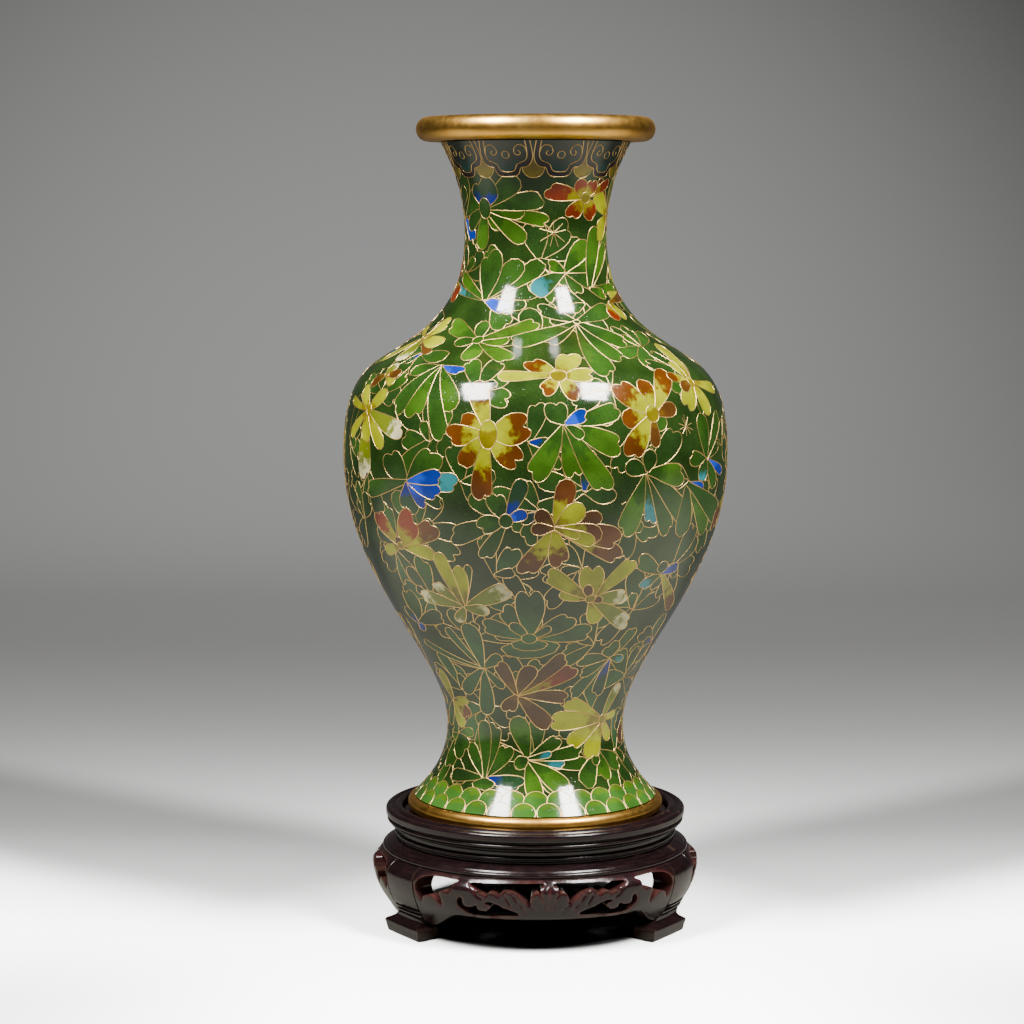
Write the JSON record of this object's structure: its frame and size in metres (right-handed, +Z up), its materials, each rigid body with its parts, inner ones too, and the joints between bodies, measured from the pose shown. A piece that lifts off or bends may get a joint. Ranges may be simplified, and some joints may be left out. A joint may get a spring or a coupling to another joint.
{
  "type": "cloisonne vase",
  "caption": "Baluster vase with a flared gilt mouth and foot, enamelled over a brazed copper body, standing loose in the tray of an openwork wooden stand.",
  "frame": {"origin": "on the vertical axis, level with the underside of the three feet", "axes": "+Z up the vase's axis to its mouth, -Y the front, +X to the right seen from the front"},
  "size_m": [0.113, 0.113, 0.2374],
  "materials": {
    "gilt": "gilt and polished, slightly worn",
    "copper": "bare hammered copper, hidden under enamel",
    "enamel": "polished glass enamel between gilt wires, fine pits",
    "counter_enamel": "plain glossy enamel",
    "wood": "dark stained and waxed hardwood"
  },
  "bodies": {
    "stand": {"tray_rim": "wood", "tray_floor": "wood", "waist_ring": "wood", "shoulder_board": "wood", "apron_1": "wood", "apron_2": "wood", "apron_3": "wood", "leg_1": "wood", "leg_2": "wood", "leg_3": "wood"},
    "vase": {"lip_ring": "gilt", "outer_enamel": "enamel", "neck_copper": "copper", "shoulder_copper": "copper", "lower_copper": "copper", "foot_copper": "copper", "inner_enamel": "counter_enamel", "base_plate": "copper", "base_enamel": "counter_enamel", "foot_ring": "gilt"}
  },
  "joints": [
    {"name": "vase_lift", "type": "slide", "parent": "stand", "child": "vase", "axis": [0, 0, 1], "range_m": [0, 0.06]}
  ]
}
